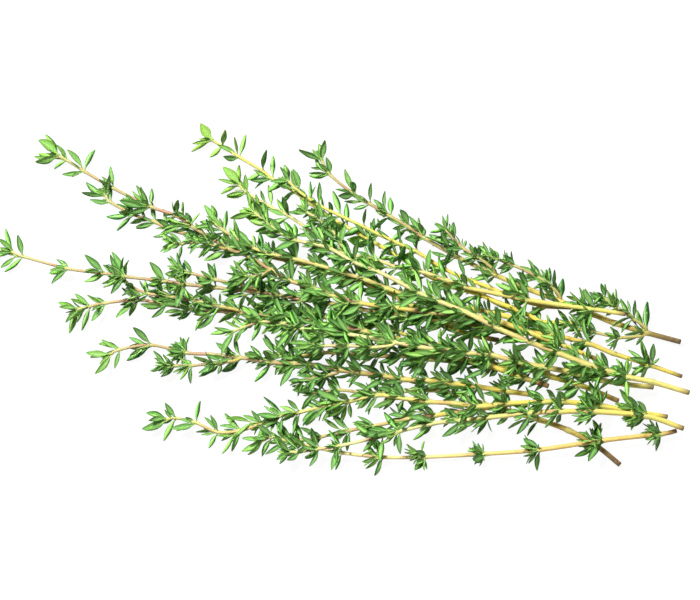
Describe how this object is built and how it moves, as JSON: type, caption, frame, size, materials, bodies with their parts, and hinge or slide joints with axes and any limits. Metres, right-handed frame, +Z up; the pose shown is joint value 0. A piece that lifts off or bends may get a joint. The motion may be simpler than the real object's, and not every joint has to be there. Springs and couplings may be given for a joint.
{
  "type": "thyme bundle",
  "caption": "Loose bundle of fresh cut thyme lying flat: slender square stems with small opposite leaves, cut ends together and tips fanned out.",
  "frame": {"origin": "on the surface the bundle lies on, under the middle of its bounding box", "axes": "+X towards the cut ends of the stems, +Y across the bundle, +Z up; the tips point to -X"},
  "size_m": [0.2232, 0.1151, 0.0175],
  "materials": {
    "stem": "fresh herb stem: satin, yellow green to tan, pinkish brown above the nodes, brown at the cut end",
    "leaf": "fresh leaf: soft satin mid green with a paler midrib and darker margins"
  },
  "bodies": {
    "root": {"sprig_a": "stem", "sprig_a_shoot_1": "leaf", "sprig_a_shoot_2": "leaf", "sprig_a_shoot_3": "leaf", "sprig_a_shoot_4": "leaf", "sprig_b": "stem", "sprig_b_shoot_1": "leaf", "sprig_c": "stem", "sprig_d": "stem", "sprig_d_shoot_1": "leaf", "sprig_e": "stem", "sprig_e_shoot_1": "leaf", "sprig_f": "stem", "sprig_g": "stem", "sprig_g_shoot_1": "leaf", "sprig_h": "stem", "sprig_h_shoot_1": "leaf", "sprig_h_shoot_2": "leaf", "sprig_i": "stem", "sprig_j": "stem", "sprig_k": "stem", "sprig_l": "stem", "sprig_m": "stem", "sprig_n": "stem", "sprig_o": "stem", "sprig_p": "stem", "sprig_q": "stem", "sprig_q_shoot_1": "leaf", "sprig_q_shoot_2": "leaf", "sprig_r": "stem", "sprig_y": "stem"}
  },
  "joints": []
}
